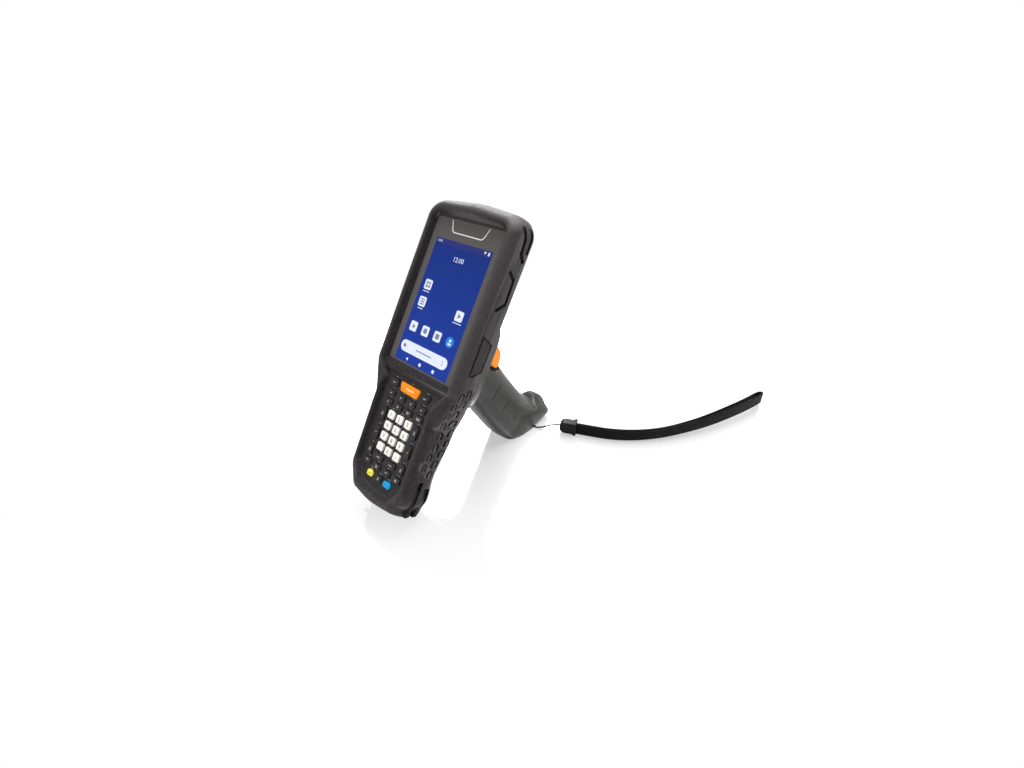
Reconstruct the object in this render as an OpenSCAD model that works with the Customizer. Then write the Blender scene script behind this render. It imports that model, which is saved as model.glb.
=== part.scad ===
// Hand-held barcode data terminal with a keypad, a pistol grip, a rubber boot and a wrist strap.
// Millimetres. The terminal stands as it is set down: on the flat foot of its grip and on the
// heel of its boot. The origin is the middle of the grip's foot, on the surface it stands on.
// +X is the user's right, +Y runs from the screen towards the grip's butt, +Z is up.
// Most pieces are drawn in the device frame and then tilted into place: there the origin is
// the middle of the screen, x is the user's right, y runs to the top end, z comes out of the screen.

/* [Pose] */
// Lean of the long axis back from upright
lean = 32.5; // [31.5:0.25:33.5]

/* [Display] */
// Width of the lit screen
screen_w = 56.2; // [52:0.2:57]
// Height of the lit screen
screen_h = 93.6; // [90:0.2:94.4]
// Glass border at each side of the screen
border_side = 5.9; // [5:0.1:6.4]
// Glass border above the screen
border_top = 15.2; // [13:0.2:16]
// Glass border below the screen
border_bottom = 1.7; // [1.4:0.1:2.2]
// Thickness of the touch glass
glass_t = 1.5; // [1.2:0.1:1.8]
// Thickness of the display module
display_t = 3.9; // [3.4:0.1:4.4]

/* [Housing] */
// Housing side beyond the glass
frame_side = 5; // [4.6:0.1:5.6]
// Housing end beyond the top of the glass
frame_top = 10.8; // [10:0.2:12]
// Width of the housing round the keypad
waist_w = 56.8; // [56:0.2:60]
// Housing end beyond the last row of keys
tail_margin = 11.2; // [10.8:0.1:12]
// Wall of both housing halves
wall = 2; // [1.6:0.1:2.2]
// Thickness of the keypad's front wall
pan_t = 1.8; // [1.5:0.1:2]
// Depth of the housing's shoulder behind the glass face
shoulder_d = 19.4; // [18:0.2:21]
// Height of the raised back above the shoulder
back_rise = 3.1; // [2.6:0.1:3.6]
// Depth of the joint between the housing halves
joint_d = 9; // [8.6:0.1:9.6]

/* [Keypad] */
// Spacing of the number keys across
key_pitch_x = 9.5; // [9.2:0.1:9.7]
// Height of a number key
number_h = 5.95; // [5.8:0.05:6.1]
// Gap between rows of keys
row_gap = 2.5; // [2.4:0.05:2.6]
// Gap between number keys across
column_gap = 2.5; // [2.3:0.05:2.7]
// Spacing of the keys in rows of four
quad_pitch = 11.5; // [11.2:0.1:11.8]
// Height of the caps above the pan
cap_rise = 1.5; // [1.2:0.1:1.8]
// Travel of a key
key_travel = 0.6; // [0.4:0.05:0.7]
// Clearance of a key in its hole
key_fit = 0.2; // [0.15:0.05:0.25]

/* [Boot] */
// Thickness of the boot's side walls round the screen
boot_wall = 4; // [3.6:0.1:4.4]
// Height of the rim above the glass
rim_h = 5.4; // [4.6:0.1:6]
// Thickness of the boot at the top end
boot_top = 5.4; // [4.6:0.1:6]
// Thickness of the boot at the bottom end
boot_bottom = 10.2; // [9.6:0.1:10.6]
// Reach of the boot's lip over the back
lip_reach = 4.5; // [4:0.1:5]
// Depth of the heel behind the glass face
heel_d = 35; // [34:0.2:36]
// Spacing of the horseshoe grooves in its sides
shoe_pitch = 8.35; // [8:0.05:8.5]
// Depth of the horseshoe grooves
shoe_d = 1; // [0.6:0.1:1.2]

/* [Grip] */
// Width of the grip
grip_w = 32; // [30:0.5:34]
// Width of the saddle that joins the housing
saddle_w = 72; // [68:0.5:74]
// Spacing of the grip's side grooves
groove_pitch = 19.5; // [18:0.5:21]
// Depth of the grip's side grooves
groove_d = 0.8; // [0.5:0.1:1]
// Width of the trigger where the finger pulls it
trigger_w = 25; // [23:0.5:26]
// Width of the trigger's arm between the grip's walls
arm_w = 16; // [14:0.5:17]
// Radius of the trigger pin
pin_r = 1.5; // [1.2:0.1:1.7]
// Clearance beside the trigger's arm
trigger_fit = 0.5; // [0.4:0.1:0.7]

/* [Battery] */
// Width of the battery pack
battery_w = 42; // [38:0.5:43]
// Housing between the grip's saddle and the battery pack
battery_gap = 10.5; // [9.5:0.5:13]
// Depth of the battery's back behind the glass face
battery_d = 33; // [31:0.2:33.4]
// Width of the battery latch
latch_w = 14; // [12:0.5:18]
// Slide of the battery latch
latch_travel = 3; // [2:0.2:3.4]

/* [Strap] */
// Width of the webbing
strap_w = 10.5; // [9:0.5:12]
// Thickness of the doubled webbing
strap_t = 3.2; // [2.6:0.2:4]
// Diameter of the lanyard string
string_d = 1.2; // [1:0.1:1.2]
// Length of the ferrule
ferrule_l = 15.5; // [14:0.5:17]

/* [Hidden] */
$fn = 32;
fit = 0.1;              // face gap between pieces that drop into each other
boot_fit = 0.2;         // gap between the boot and the housing
arc_steps = 5;          // chords in each rounded corner of an outline
lean_c = cos(lean);
lean_s = sin(lean);

// ---- places in the device frame
glass_w = screen_w + 2 * border_side;
glass_top = screen_h / 2 + border_top;
glass_bottom = -screen_h / 2 - border_bottom;
glass_l = glass_top - glass_bottom;
upper_half = glass_w / 2 + frame_side;
waist_half = waist_w / 2;
top_y = glass_top + frame_top;
neck_y = glass_bottom - 2;
board_z = -(glass_t + display_t);       // front face of the board
board_t = 1.6;
mat_t = 2;
bed_z = board_z + mat_t;                // front face of the keypad mat
flange_t = 0.8;
flange_w = 0.45;                        // how far a key's flange reaches under the pan
back_z = -shoulder_d - back_rise;       // face of the raised back
back_half = 27.5;
saddle_front = 7;                       // the grip's saddle on the back: its two ends and its face
saddle_back = glass_bottom - 17.5;
saddle_face = -30.5;

// ---- keypad rows, from the bar below the glass down
scan_h = 7.1;
slim_h = 4.45;
end_h = 4.9;
soft_h = 5.4;
row_a = glass_bottom - 15;
row_b = row_a - (scan_h + slim_h) / 2 - row_gap;
row_c = row_b - slim_h - row_gap;
row_1 = row_c - (slim_h + number_h) / 2 - row_gap;
row_step = number_h + row_gap;
row_e = row_1 - 3 * row_step - (number_h + slim_h) / 2 - row_gap;
row_f = row_e - slim_h - row_gap;
row_g = row_f - (slim_h + end_h) / 2 - row_gap;
bottom_y = row_g - end_h / 2 - tail_margin;     // where the housing ends
number_w = key_pitch_x - column_gap;
quad_w = quad_pitch - 3.6;
scan_w = 21.6;
soft_w = 8.8;
soft_x = scan_w / 2 + column_gap + soft_w / 2;
tall_w = 5.3;
tall_x = key_pitch_x + number_w / 2 + column_gap + tall_w / 2 + 0.4;
tall_h = [10.6, 10.6, 8.6];
tall_pitch = 15;
tall_top = row_1 + number_h / 2;
tall_y = [for (i = [0:2]) tall_top - tall_h[i] / 2 - i * tall_pitch];
wide_w = 9.8;
wide_x = wide_w / 2 + column_gap / 2 + 1;
end_w = 7.2;
end_x = end_w + column_gap + 0.4;
black = "#2b2a2b";
white = "#f1eeea";
orange = "#f39a2b";

// every key: name, x, y, width, height, colour, outline
KEYS = concat(
    [["key_soft_left", -soft_x, row_a, soft_w, soft_h, black, "plain"],
     ["key_scan", 0, row_a, scan_w, scan_h, orange, "taper"],
     ["key_soft_right", soft_x, row_a, soft_w, soft_h, black, "slant"]],
    [for (i = [0:3])
        [["key_arrow_left", "key_arrow_up", "key_arrow_down", "key_arrow_right"][i],
         (i - 1.5) * quad_pitch, row_b, quad_w, slim_h, black, "plain"]],
    [for (i = [0:3])
        [str("key_upper_", i + 1), (i - 1.5) * quad_pitch, row_c, quad_w, slim_h, black, "plain"]],
    [for (r = [0:3], c = [0:2])
        [r < 3 ? str("key_", 3 * r + c + 1) : ["key_point", "key_0", "key_dash"][c],
         (c - 1) * key_pitch_x, row_1 - r * row_step, number_w, number_h, white, "plain"]],
    [for (s = [-1, 1], i = [0:2])
        [str(s < 0 ? "key_left_" : "key_right_", i + 1),
         s * tall_x, tall_y[i], tall_w, tall_h[i], black, "bow"]],
    [for (s = [-1, 1])
        [s < 0 ? "key_wide_left" : "key_wide_right", s * wide_x, row_e, wide_w, slim_h, black, "plain"]],
    [for (i = [0:3])
        [str("key_lower_", i + 1), (i - 1.5) * quad_pitch, row_f, quad_w, slim_h, black, "plain"]],
    [["key_yellow", -end_x, row_g, end_w - 0.6, end_h, "#e8dc5a", "oval"],
     ["key_shift", 0, row_g, end_w - 0.6, end_h, black, "plain"],
     ["key_blue", end_x, row_g, end_w + 0.6, end_h, "#1c9bd0", "oval"]]);

// ---- outlines: rounded corners, given as [x, y, radius]
function unit(v) = v / norm(v);
function spin(v, a) = [v.x * cos(a) - v.y * sin(a), v.x * sin(a) + v.y * cos(a)];
function corner_arc(a, b, c, r, n) =
    let (u = unit(a - b), v = unit(c - b), half = acos(u * v) / 2,
         centre = b + unit(u + v) * r / sin(half), start = b + u * r / tan(half) - centre,
         turn = sign(cross(b - a, c - b)) * (180 - 2 * half))
    [for (i = [0:n]) centre + spin(start, turn * i / n)];
function flat(p) = [p.x, p.y];
function rounded(corners, n = arc_steps) =
    let (m = len(corners))
    [for (i = [0:m - 1])
        each corner_arc(flat(corners[(i + m - 1) % m]), flat(corners[i]),
                        flat(corners[(i + 1) % m]), corners[i].z, n)];
// corners of the right side, from bottom centre to top centre, and their mirror images
function both_sides(right) =
    concat(right, [for (i = [len(right) - 2:-1:1]) [-right[i].x, right[i].y, right[i].z]]);
function smooth(t) = let (c = min(1, max(0, t))) c * c * (3 - 2 * c);

// the housing's outline, drawn in by d
function case_corners(d) = both_sides([
    [0, bottom_y + d, 50],
    [waist_half - 8.9 - 0.4 * d, bottom_y + 3.3 + 0.9 * d, 7],
    [waist_half - d, bottom_y + 14.3 + 0.4 * d, 12],
    [waist_half - d, neck_y - 28, 32],
    [upper_half - d, neck_y + 0.2 * d, 14],
    [upper_half - d, top_y - 3 - d, 10 - min(d, 6)],
    [0, top_y - d, 90]]);
function case_outline(d = 0) = rounded(case_corners(d));

// the boot's outside, and the front opening that its rim leaves
boot_lower = boot_wall - 0.9;
boot_half = upper_half + boot_wall;
boot_waist = waist_half + boot_lower;
boot_top_y = top_y + boot_top;
boot_bottom_y = bottom_y - boot_bottom;
boot_outline = rounded(both_sides([
    [0, boot_bottom_y, 60],
    [boot_waist - 7.4, boot_bottom_y + 3.4, 7],
    [boot_waist, boot_bottom_y + 16, 14],
    [boot_waist, neck_y - 29.5, 30],
    [boot_half, neck_y - 1.5, 16],
    [boot_half, boot_top_y - 3.5, 13],
    [0, boot_top_y, 90]]));
rim_gap = 0.6;                          // glass edge to the foot of the rim
pan_half = waist_half - 1.6;
opening_outline = rounded(both_sides([
    [0, bottom_y + 5.3, 40],
    [pan_half - 10.4, bottom_y + 7.2, 6],
    [pan_half - 1.8, bottom_y + 21.8, 12],
    [pan_half, glass_bottom - 11.5, 4],
    [glass_w / 2 + rim_gap, glass_bottom - 3.5, 4],
    [glass_w / 2 + rim_gap, glass_top + 1.9, 6],
    [0, glass_top + 2, 200]]));
lip_outline = case_outline(lip_reach);
case_room = case_outline(-boot_fit);

// ---- places in the standing frame
// the heel is cut off flat where it stands, at this point of its edge
heel_z = -(heel_d - 4.6);
heel_y = boot_bottom_y + 2;
screen_up = -(heel_y * lean_c + heel_z * lean_s);   // height of the screen's middle
foot_y = -86.7;
foot_z = -(screen_up + foot_y * lean_c) / lean_s;   // the foot's middle lies on the floor
screen_fwd = -(foot_y * lean_s - foot_z * lean_c);  // where the screen's middle stands along Y

module posed() {
    translate([0, screen_fwd, screen_up]) rotate([90 - lean, 0, 0]) children();
}
module slab(z_low, z_high) {
    translate([0, 0, z_low]) linear_extrude(z_high - z_low) children();
}
module mirrored() {
    children();
    mirror([1, 0, 0]) children();
}
// a profile of [y, z] points carried across the device, from x_low to x_high
module across(x_low, x_high) {
    translate([x_low, 0, 0]) rotate([90, 0, 90]) linear_extrude(x_high - x_low) children();
}
// a profile of [x, z] points carried along the device, from y_low to y_high
module along(y_low, y_high) {
    translate([0, y_high, 0]) rotate([90, 0, 0]) linear_extrude(y_high - y_low) children();
}
module soft_rect(w, h, r, n = 2) {
    polygon(rounded([[-w / 2, -h / 2, r], [w / 2, -h / 2, r], [w / 2, h / 2, r], [-w / 2, h / 2, r]], n));
}

// ---- keys
module key_outline(k, grow = 0) {
    w = k[3] / 2 + grow;
    h = k[4] / 2 + grow;
    r = 1.1 + grow;
    translate([k[1], k[2]])
        if (k[6] == "taper")
            polygon(rounded([[-w + 2, -h, r], [w - 2, -h, r], [w, h, r], [-w, h, r]], 2));
        else if (k[6] == "slant")
            polygon(rounded([[-w, -h, r], [w - 3, -h, r], [w, h, r], [-w, h, r]], 2));
        else if (k[6] == "bow") {
            left = k[1] < 0 ? r + 1.5 : r;
            right = k[1] < 0 ? r : r + 1.5;
            polygon(rounded([[-w, -h, left], [w, -h, right], [w, h, right], [-w, h, left]], 3));
        } else if (k[6] == "oval")
            soft_rect(2 * w, 2 * h, r + 1, 4);
        else
            soft_rect(2 * w, 2 * h, r);
}
// a cap with rounded top edges, through the pan and held under it by a flange
module key_body(k) {
    bevel = 0.5;
    base_z = -pan_t - fit;
    w = k[3] / 2;
    h = k[4] / 2;
    intersection() {
        slab(base_z - flange_t, cap_rise) key_outline(k);
        translate([0, k[2], 0]) across(-boot_half, boot_half)
            polygon([[-h, base_z - flange_t], [h, base_z - flange_t], [h, cap_rise - bevel],
                     [h - bevel, cap_rise - 0.1], [0, cap_rise], [-h + bevel, cap_rise - 0.1],
                     [-h, cap_rise - bevel]]);
        translate([k[1], 0, 0]) along(k[2] - 20, k[2] + 20)
            polygon([[-w, base_z - flange_t], [w, base_z - flange_t], [w, cap_rise - bevel],
                     [w - bevel, cap_rise], [-w + bevel, cap_rise], [-w, cap_rise - bevel]]);
    }
    slab(base_z - flange_t, base_z) key_outline(k, flange_w);
}
module key(k) {
    color(k[5]) posed() key_body(k);
}

// ---- housing
post_r = 2.6;
screw_r = 1.2;
SCREWS = [for (s = [-1, 1]) each [[s * (upper_half - wall - 2.7), 50], [s * 26, glass_bottom - 26.5]]];
module at_screws() {
    for (p = SCREWS) translate(p) children();
}
module front_housing() color("#3b3939") posed() {
    ledge_z = -glass_t - 1.5;
    pan_top = glass_bottom - 8.5;
    difference() {
        slab(-joint_d, 0) polygon(case_outline());
        slab(-glass_t, 1) translate([0, (glass_top + glass_bottom) / 2])
            soft_rect(glass_w + 2 * fit, glass_l + 2 * fit, 3, 5);
        slab(-joint_d - 1, 0) translate([0, display_y()])
            square([display_w() + 2 * fit, display_l() + 2 * fit], center = true);
        difference() {
            slab(-joint_d - 1, ledge_z) polygon(case_outline(wall));
            slab(-joint_d, 0) at_screws() circle(post_r);
        }
        difference() {
            slab(ledge_z - 1, -pan_t) intersection() {
                polygon(case_outline(wall));
                translate([-upper_half, bottom_y]) square([2 * upper_half, pan_top - bottom_y]);
            }
            slab(-joint_d, 0) at_screws() circle(post_r);
        }
        slab(-joint_d - 1, ledge_z) at_screws() circle(screw_r);
        for (k = KEYS) slab(-pan_t - 1, 1) key_outline(k, key_fit);
        scan_port();
    }
}
// the way out of the top end for the scan engine's light
port_w = 26;
port_z = [-16.5, -6.5];
module scan_port(grow = 0) {
    translate([-port_w / 2 - grow, top_y - wall - 3, port_z[0] - grow])
        cube([port_w + 2 * grow, 20, port_z[1] - port_z[0] + 2 * grow]);
}
module rear_housing() color("#3b3939") posed() difference() {
    union() {
        slab(-shoulder_d, -joint_d) polygon(case_outline());
        slab(back_z, -shoulder_d) polygon(rounded([
            [-back_half, saddle_back - 1, 6], [back_half, saddle_back - 1, 6],
            [back_half, top_y - 9, 8], [-back_half, top_y - 9, 8]]));
    }
    difference() {
        slab(-shoulder_d + wall, -joint_d + 1) polygon(case_outline(wall));
        slab(-shoulder_d, -joint_d) at_screws() circle(post_r);
    }
    slab(-shoulder_d - 1, -joint_d + 1) at_screws() circle(screw_r + fit);
    slab(-shoulder_d - 1, -shoulder_d + screw_head) at_screws() circle(head_r + fit);
    slab(back_z - 1, -joint_d) translate([0, battery_mid])
        square([battery_w - 4 + 2 * fit, battery_l - 4 + 2 * fit], center = true);
    for (p = SADDLE_SCREWS) slab(back_z - 1, -shoulder_d + wall + 1) translate(p) circle(screw_r);
    scan_port();
}
module touch_window() color("#1e2a6e") posed()
    slab(-glass_t, 0) translate([0, (glass_top + glass_bottom) / 2]) soft_rect(glass_w, glass_l, 3, 5);
function display_w() = screen_w + 5.6;
function display_l() = screen_h + 3;
function display_y() = -0.2;
module display_module() color("silver") posed()
    slab(board_z, -glass_t) translate([0, display_y()]) square([display_w(), display_l()], center = true);

// ---- electronics
module main_board() color("#1f5a38") posed() difference() {
    slab(board_z - board_t, board_z) polygon(case_outline(wall + 0.3));
    slab(board_z - board_t - 1, board_z + 1) at_screws() circle(post_r + 0.3);
}
module keypad_mat() color("#8d8f92") posed() difference() {
    slab(board_z, bed_z) intersection() {
        polygon(case_outline(wall + 0.6));
        translate([-waist_half, bottom_y])
            square([waist_w, glass_bottom - 9 - bottom_y]);
    }
    slab(board_z - 1, bed_z + 1) at_screws() circle(post_r + 0.3);
}
engine_w = 22;
engine_l = 13;
engine_z = [-15.5, board_z - board_t];
module scan_engine() color("#4a4d52") posed() {
    lens_r = 3.2;
    difference() {
        translate([-engine_w / 2, top_y - wall - 0.8 - engine_l, engine_z[0]])
            cube([engine_w, engine_l, engine_z[1] - engine_z[0]]);
        for (x = [-5, 5])
            translate([x, top_y - wall - 2.3, (engine_z[0] + engine_z[1]) / 2])
                rotate([-90, 0, 0]) cylinder(r = lens_r, h = 6);
    }
}
module scan_window() color("#5a1518") posed()
    translate([-port_w / 2 + fit, top_y - wall - 0.5, port_z[0] + fit])
        cube([port_w - 2 * fit, 1.5, port_z[1] - port_z[0] - 2 * fit]);

// ---- battery
battery_top = saddle_back - battery_gap;
battery_end = bottom_y + lip_reach + 0.9;
battery_l = battery_top - battery_end;
battery_mid = (battery_top + battery_end) / 2;
latch_l = 6;
latch_y = battery_mid + battery_l / 2 - 9;
latch_deep = 2.2;
function crown(w, low, high, r) =
    rounded([[-w / 2, high, 0.6], [-w / 2, low, r], [w / 2, low, r], [w / 2, high, 0.6]], 6);
module battery_pack() color("#333233") posed() difference() {
    union() {
        // its far corners are drawn in to follow the boot's lip
        intersection() {
            along(battery_end, battery_top) polygon(crown(battery_w, -battery_d, -shoulder_d - fit, 9));
            slab(-battery_d - 1, 0) polygon(case_outline(lip_reach + 2 * boot_fit));
        }
        slab(-shoulder_d - 1, -joint_d - 3) translate([0, battery_mid])
            square([battery_w - 4, battery_l - 4], center = true);
    }
    translate([-latch_w / 2 - fit, latch_y - latch_l / 2 - latch_travel - fit, -battery_d - 1])
        cube([latch_w + 2 * fit, latch_l + latch_travel + 2 * fit, latch_deep + 1]);
}
module battery_latch() color("#202020") posed() {
    translate([-latch_w / 2, latch_y - latch_l / 2, -battery_d])
        cube([latch_w, latch_l, latch_deep - fit]);
    for (i = [-1:1])
        translate([-latch_w / 2 + 2, latch_y + i * 1.7 - 0.4, -battery_d - 0.7]) cube([latch_w - 4, 0.8, 1]);
}

// ---- fixings
head_r = 2.3;
screw_head = 1.6;
SADDLE_SCREWS = [for (s = [-1, 1]) each [[s * 21, saddle_front - 6], [s * 21, saddle_back + 6]]];
module screw(head_z, tip_z) {
    difference() {
        union() {
            slab(head_z, head_z + screw_head) circle(head_r);
            slab(head_z, tip_z) circle(screw_r);
        }
        slab(head_z - 1, head_z + 1) circle(1.1, $fn = 6);
    }
}
module case_screws() color("#9a9c9f") posed() {
    at_screws() screw(-shoulder_d, -glass_t - 3.5);
    for (p = SADDLE_SCREWS) translate(p) screw(saddle_face, -shoulder_d + wall - 0.5);
}

// ---- boot: one profile carried round the outline, from the rim's foot over the side to the lip
// each level: share of the way from opening to outside, and its height at the side, top and bottom
RIM = [
    [0, 0.2, 0.2, 0.2], [0.15, rim_h - 2.8, rim_h - 2.4, rim_h - 3.2],
    [0.25, rim_h - 0.8, rim_h - 0.6, rim_h - 1.5], [0.4, rim_h, rim_h, rim_h - 0.8],
    [0.6, rim_h - 0.3, rim_h - 1.6, rim_h - 2.4], [0.8, rim_h - 1.7, rim_h - 5, rim_h - 8],
    [0.94, rim_h - 4.3, rim_h - 9.6, rim_h - 14.4], [1, rim_h - 8, rim_h - 14.4, rim_h - 19]];
function top_share(p) = smooth((p.y - glass_top + 8) / 20);
function end_share(p) = smooth((bottom_y + 18 - p.y) / 20);
function heel_share(p) = smooth((bottom_y + 26 - p.y) / 24) * smooth((31 - abs(p.x)) / 13);
function rim_point(i, l) =
    let (a = opening_outline[i], c = boot_outline[i], p = a + (c - a) * l[0],
         t = top_share(c), e = end_share(c))
    [p.x, p.y, l[1] + (l[2] - l[1]) * t + (l[3] - l[1]) * e];
function heel_drop(p) = (heel_d - shoulder_d - 1.6) * heel_share(p);
function side_point(i, share, z, drop) =
    let (c = boot_outline[i], b = case_room[i], p = c + (b - c) * share)
    [p.x, p.y, z - drop * heel_drop(c)];
boot_levels = concat(
    [for (l = RIM) [for (i = [0:len(boot_outline) - 1]) rim_point(i, l)]],
    [for (l = [[0, 4.4, 0.93], [0.3, 0.9, 0.97], [0.8, -1.1, 1]])
        [for (i = [0:len(boot_outline) - 1]) side_point(i, l[0], -shoulder_d + l[1], l[2])]],
    [for (z = [-1.6, -boot_fit])
        [for (i = [0:len(boot_outline) - 1])
            let (p = lip_outline[i]) [p.x, p.y, -shoulder_d + z - heel_drop(boot_outline[i])]]],
    [[for (i = [0:len(boot_outline) - 1])
        let (p = case_room[i]) [p.x, p.y, -shoulder_d - boot_fit - heel_drop(boot_outline[i])]]],
    [[for (i = [0:len(boot_outline) - 1]) let (p = case_room[i]) [p.x, p.y, 0.2]]]);
module ring_solid(levels) {
    m = len(levels[0]);
    n = len(levels);
    polyhedron(
        points = [for (l = levels) each l],
        faces = [for (j = [0:n - 1], i = [0:m - 1])
            let (a = j * m + i, b = j * m + (i + 1) % m, k = (j + 1) % n,
                 c = k * m + (i + 1) % m, d = k * m + i)
            each [[a, b, c], [a, c, d]]]);
}
// where the boot's side wall stands at height y, and which way it faces
side_wall = [for (p = boot_outline) if (p.x > boot_waist - 1) [p.y, p.x]];
function wall_x(y) = lookup(y, side_wall);
function wall_turn(y) = atan2(wall_x(y - 1) - wall_x(y + 1), 2);
// the outline of a bent line of width w
function stroke_side(route, w) = [for (i = [0:len(route) - 1])
    let (a = unit(route[max(i, 1)] - route[max(i, 1) - 1]),
         b = i < len(route) - 1 ? unit(route[i + 1] - route[i]) : a,
         n = unit(spin(a, 90) + spin(b, 90)), end = i == 0 ? -w / 2 : (i < len(route) - 1 ? 0 : w / 2))
    route[i] + a * end + n * w / 2 / (n * spin(a, 90))];
function reversed(list) = [for (i = [len(list) - 1:-1:0]) list[i]];
function stroke(route, w) = concat(stroke_side(route, w), stroke_side(reversed(route), w));
// horseshoe grooves in two rows down each side, open towards the bottom end
SHOE = [[-5.2, -1.6], [-1.8, -1.6], [-0.6, -1], [-0.1, 0], [-0.6, 1], [-1.8, 1.6], [-5.2, 1.6]];
shoe_w = 1.1;
module shoe_grooves() {
    rows = 9;
    for (c = [0, 1], i = [0:rows - 1 - c]) {
        y = neck_y + 5 - i * shoe_pitch - c * 3;
        low = smooth((neck_y - 10 - y) / 20);
        rise = smooth((neck_y - 36 - y) / 24);
        z = -10.6 + c * (6 + 1.3 * rise) - 5.4 * low + 2.4 * rise;
        translate([wall_x(y - 2), y, z]) rotate([0, 0, wall_turn(y - 2)]) across(-shoe_d, 2.4)
            polygon(stroke(SHOE, shoe_w));
    }
}
pad_y = [-8, -35];
pad_z = [-4, -13.5];
module pad_outline(grow) {
    polygon([[pad_y[0] + grow, pad_z[0] + grow], [pad_y[1] - grow, pad_z[0] + grow],
             [pad_y[1] - grow, pad_z[0] - 2.5], [pad_y[1] + 5 - grow, pad_z[1] - grow],
             [pad_y[0] - 4.5 + grow, pad_z[1] - grow]]);
}
groove = 2.6;
// a bracket-shaped groove round a flap, cut into the boot's side
module flap_groove() {
    across(boot_half - 1.8, boot_half + 1)
        polygon(stroke([[38, -5.6], [34.5, -11.5], [17.5, -12.5], [12, -5.8]], groove));
}
// two long slots that run down each side and out at the bottom end
slot_w = 4.2;
module end_slots() {
    for (s = [[24, -9.4, -8], [18.5, -15.6, -17.4]])
        across(boot_waist - 2.6, boot_waist + 1)
            polygon(stroke([[bottom_y + s[0], s[1]], [bottom_y - 14, s[2]]], slot_w));
}
// two bent slots on each side of the top corners
module corner_slots() {
    for (route = [[[top_y + 1, -2.5], [61, -8.5], [52, -9.5], [48, -13.5]],
                  [[top_y + 1, -10.5], [65, -15], [55, -15.2]]])
        across(boot_half - 2.2, boot_half + 1) polygon(stroke(route, 3));
}
module rubber_boot() color("#3e3b3c") posed() difference() {
    union() {
        ring_solid(boot_levels);
        across(-glass_w / 2 - 2.5, glass_w / 2 + 2.5) {
            bar_top = glass_bottom - 0.4;
            polygon([[bar_top, 0.2], [bar_top, 1.2], [bar_top - 1, 2.2], [bar_top - 7, 2.2],
                     [bar_top - 8.4, 0.2]]);
        }
    }
    mirrored() {
        shoe_grooves();
        flap_groove();
        end_slots();
        corner_slots();
        across(upper_half - 1, boot_half + 1) pad_outline(0.4);
        across(upper_half - 1, upper_half + 2.2) pad_outline(1.6);
        across(boot_half - 1, boot_half + 1) pad_outline(1.3);
    }
    scan_port(2);
    below_floor();
}
// everything under the surface that the terminal stands on
module below_floor() {
    rotate([lean - 90, 0, 0]) translate([-100, -screen_fwd - 200, -screen_up - 50]) cube([200, 400, 50]);
}
module side_key() {
    across(upper_half + 0.9, boot_half + 0.3) pad_outline(0);
    across(upper_half + 0.9, upper_half + 1.9) pad_outline(1.1);
}
module side_key_right() color("#333132") posed() side_key();
module side_key_left() color("#333132") posed() mirror([1, 0, 0]) side_key();

// ---- grip: sections from the saddle down to the butt, [front y, z], [back y, z], half width and
// the power that shapes them; the handle is oval and swells into a squarer, hooked butt
grip_half = grip_w / 2;
soft = 0.4;
oval = 0.72;
SECTIONS = [
    [[saddle_front, back_z], [saddle_back, back_z], saddle_w / 2, soft],
    [[saddle_front, saddle_face], [saddle_back, saddle_face], saddle_w / 2, soft],
    [[saddle_front - 2, saddle_face - 2.4], [saddle_back + 1, saddle_face - 2.4], saddle_w / 2 - 3, soft],
    [[-5, -37.5], [-61, -38], grip_half + 7, oval],
    [[-11, -43.5], [-59.5, -46], grip_half + 2, oval],
    [[-15.5, -52], [-62, -56], grip_half + 0.4, oval],
    [[-21.5, -64], [-68, -68], grip_half, oval],
    [[-29, -79], [-75.5, -82], grip_half - 0.2, oval],
    [[-37.2, -97], [-83.5, -98.5], grip_half, oval],
    [[-45, -115], [-90, -113.5], grip_half + 0.2, 0.68],
    [[-49.4, -124.5], [-92.6, -121.5], grip_half + 0.3, 0.66],
    [[-50.6, -127.4], [-93.2, -123.5], grip_half + 0.3, 0.62],
    [[-47, -129.6], [-93.6, -126], grip_half + 0.5, 0.55],
    [[-46.6, -134], [-94.6, -128.5], grip_half + 0.8, 0.52],
    [[-47.2, -142], [-95, -133], grip_half + 1.1, 0.5],
    [[-48.4, -150], [-94.2, -138], grip_half + 1.2, 0.48],
    [[-50.4, -158], [-91.6, -142.5], grip_half + 1.1, 0.48],
    [[-53, -165.6], [-87, -146.6], grip_half + 0.9, 0.48],
    [[-55.6, -170.4], [-83.4, -149], grip_half + 0.4, 0.48],
    [[-57.8, -172.2], [-81, -150.4], grip_half - 0.8, 0.5]];
grip_sides = 32;
function power(v, e) = sign(v) * pow(abs(v), e);
function section_ring(s) = [for (i = [0:grip_sides - 1])
    let (a = 360 * i / grip_sides, m = (s[0] + s[1]) / 2, r = (s[0] - s[1]) / 2,
         p = m + r * power(cos(a), s[3]))
    [s[2] * power(sin(a), s[3]), p.x, p.y]];
module grip_loft() {
    n = len(SECTIONS);
    m = grip_sides;
    rings = [for (s = SECTIONS) section_ring(s)];
    polyhedron(
        points = [for (r = rings) each r],
        faces = concat(
            [[for (i = [0:m - 1]) i]],
            [for (j = [0:n - 2], i = [0:m - 1])
                let (a = j * m + i, b = j * m + (i + 1) % m)
                each [[a, a + m, b + m], [a, b + m, b]]],
            [[for (i = [m - 1:-1:0]) (n - 1) * m + i]]));
}
pivot = [-20, -50];
pin_half = 12;
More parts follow.
